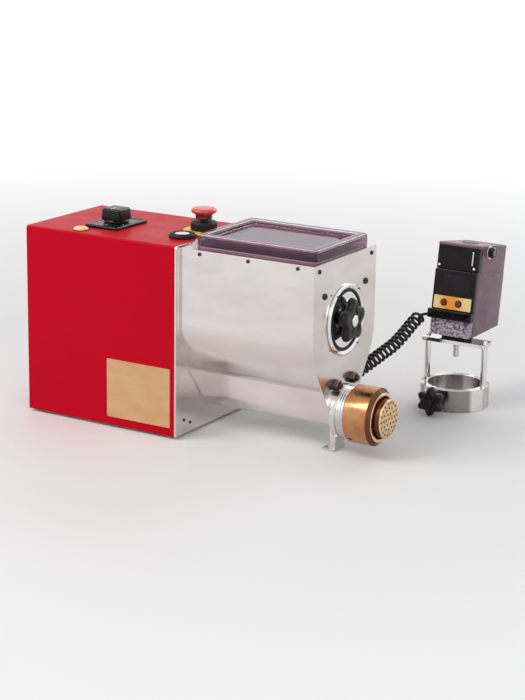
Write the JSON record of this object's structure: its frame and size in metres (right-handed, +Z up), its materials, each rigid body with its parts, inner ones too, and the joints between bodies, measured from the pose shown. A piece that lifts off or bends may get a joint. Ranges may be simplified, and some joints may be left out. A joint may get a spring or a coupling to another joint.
{
  "type": "electric pasta maker",
  "caption": "Bench pasta maker with painted drive casing, steel mixing tank under a hinged clear lid, screw and bronze die in front, and a powered cutter on a curly cord.",
  "frame": {"origin": "on the table, under the middle of the machine and the cutter that stands beside it, cord left out", "axes": "+X from the casing to the nose, where the dough leaves; +Z up; -Y the side with the data plate"},
  "size_m": [0.614, 0.5286, 0.3414],
  "materials": {
    "red_paint": "smooth gloss",
    "steel_sheet": "polished sheet",
    "steel_turned": "turned",
    "bright_chrome": "polished",
    "bronze": "polished bronze",
    "bush_bronze": "plain bronze",
    "drive_steel": "machined",
    "motor_grey": "satin",
    "alu": "machined",
    "black_plastic": "fine grain",
    "gloss_black": "gloss",
    "box_shell": "satin dark plum",
    "button_red": "gloss",
    "disc_yellow": "satin",
    "strip_amber": "satin",
    "white_plastic": "gloss",
    "lamp_amber": "translucent amber",
    "plate_tan": "printed foil, left blank",
    "dark_screw": "dark",
    "lid_clear": "tinted clear acrylic",
    "foot_rubber": "matte",
    "cord_rubber": "satin",
    "can_white": "matte"
  },
  "bodies": {
    "machine": {"casing_shell": "red_paint", "rear_panel": "red_paint", "front_panel": "steel_sheet", "base_plate": "steel_sheet", "feet": "foot_rubber", "data_plate": "plate_tan", "rear_screws": "bright_chrome", "tank": "steel_sheet", "tank_rear_plate": "steel_sheet", "tank_front_plate": "steel_sheet", "tank_rim": "steel_sheet", "rim_screws": "dark_screw", "hinge_bracket": "steel_turned", "hinge_pin": "steel_turned", "barrel": "steel_turned", "support_leg": "steel_sheet", "barrel_bolts": "dark_screw", "bearing_flange": "bright_chrome", "flange_screws": "dark_screw", "drive_frame": "alu", "mixer_bush": "bush_bronze", "auger_bush": "bush_bronze", "gear_motor": "motor_grey", "capacitor": "can_white", "power_inlet": "black_plastic", "switch_plate": "gloss_black", "pilot_lamp": "lamp_amber", "stop_disc": "disc_yellow", "stop_base": "black_plastic", "start_bezel": "black_plastic", "cord_socket": "black_plastic", "cord_plug": "black_plastic"},
    "lid": {"lid": "lid_clear", "lid_leaf": "steel_turned"},
    "mixer": {"mixer_shaft": "steel_turned", "mixer_paddles": "steel_turned", "mixer_gear": "drive_steel"},
    "screw": {"auger": "steel_turned", "auger_gear": "drive_steel"},
    "idler": {"idler_gear": "drive_steel"},
    "pinion": {"drive_pinion": "drive_steel"},
    "front_knob": {"lobed_knob": "gloss_black"},
    "die": {"die": "bronze"},
    "ring_nut": {"ring_nut": "bronze"},
    "switch": {"switch_knob": "gloss_black"},
    "stop": {"stop_button": "button_red"},
    "start": {"start_button": "white_plastic"},
    "cutter": {"curly_cord": "cord_rubber", "clamp_ring": "steel_turned", "guide_rods": "bright_chrome", "bridge_bar": "bright_chrome", "cutter_box": "box_shell", "cutter_face": "gloss_black", "button_strip": "strip_amber", "cutter_motor": "motor_grey"},
    "clamp": {"clamp_knob": "gloss_black"},
    "key_left": {"key_left": "button_red"},
    "key_right": {"key_right": "button_red"},
    "speed": {"speed_knob": "gloss_black"},
    "knife": {"knife_shaft": "steel_turned"}
  },
  "joints": [
    {"name": "lid_hinge", "type": "hinge", "parent": "machine", "child": "lid", "pos_m": [-0.01145, -0.16105, 0.3073], "axis": [0, -1, 0], "range_deg": [0, 92]},
    {"name": "mixer_turn", "type": "hinge", "parent": "machine", "child": "mixer", "pos_m": [0.09555, -0.16105, 0.2045], "axis": [1, 0, 0], "continuous": true},
    {"name": "screw_turn", "type": "hinge", "parent": "machine", "child": "screw", "pos_m": [0.09555, -0.16105, 0.062], "axis": [1, 0, 0], "continuous": true},
    {"name": "idler_turn", "type": "hinge", "parent": "machine", "child": "idler", "pos_m": [-0.04695, -0.16105, 0.122], "axis": [1, 0, 0], "continuous": true},
    {"name": "pinion_turn", "type": "hinge", "parent": "machine", "child": "pinion", "pos_m": [-0.04695, -0.10105, 0.15349], "axis": [1, 0, 0], "continuous": true},
    {"name": "front_knob_turn", "type": "hinge", "parent": "machine", "child": "front_knob", "pos_m": [0.22155, -0.16105, 0.2045], "axis": [1, 0, 0], "range_deg": [0, 180]},
    {"name": "die_out", "type": "slide", "parent": "machine", "child": "die", "axis": [1, 0, 0], "range_m": [0, 0.0325]},
    {"name": "nut_turn", "type": "hinge", "parent": "die", "child": "ring_nut", "pos_m": [0.23655, -0.16105, 0.062], "axis": [1, 0, 0], "range_deg": [0, 2880]},
    {"name": "switch_turn", "type": "hinge", "parent": "machine", "child": "switch", "pos_m": [-0.19245, -0.17705, 0.304], "axis": [0, 0, 1], "range_deg": [-60, 60]},
    {"name": "stop_press", "type": "slide", "parent": "machine", "child": "stop", "axis": [0, 0, -1], "range_m": [0, 0.0035], "stiffness_N_per_m": 900, "springref_m": -0.002},
    {"name": "start_press", "type": "slide", "parent": "machine", "child": "start", "axis": [0, 0, -1], "range_m": [0, 0.003], "stiffness_N_per_m": 500, "springref_m": -0.002},
    {"name": "cutter_lift", "type": "slide", "parent": "machine", "child": "cutter", "axis": [0, 0, 1], "range_m": [0, 0.08]},
    {"name": "clamp_turn", "type": "hinge", "parent": "cutter", "child": "clamp", "pos_m": [0.25025, 0.10085, 0.0245], "axis": [0, -1, 0], "range_deg": [0, 180]},
    {"name": "knife_turn", "type": "hinge", "parent": "cutter", "child": "knife", "pos_m": [0.25025, 0.15755, 0.09], "axis": [0, 0, 1], "continuous": true},
    {"name": "key_left_press", "type": "slide", "parent": "cutter", "child": "key_left", "axis": [0, 0.9877, -0.1564], "range_m": [0, 0.002], "stiffness_N_per_m": 400, "springref_m": -0.001},
    {"name": "key_right_press", "type": "slide", "parent": "cutter", "child": "key_right", "axis": [0, 0.9877, -0.1564], "range_m": [0, 0.002], "stiffness_N_per_m": 400, "springref_m": -0.001},
    {"name": "speed_turn", "type": "hinge", "parent": "cutter", "child": "speed", "pos_m": [0.28525, 0.19546, 0.25174], "axis": [1, 0, 0], "range_deg": [0, 270]}
  ],
  "couplings": [
    {"joint": "screw_turn", "follows": "mixer_turn", "ratio": 1.6},
    {"joint": "idler_turn", "follows": "mixer_turn", "ratio": -2.6667},
    {"joint": "pinion_turn", "follows": "mixer_turn", "ratio": -3.2},
    {"joint": "die_out", "follows": "nut_turn", "m_per_rad": 0.00063662}
  ]
}
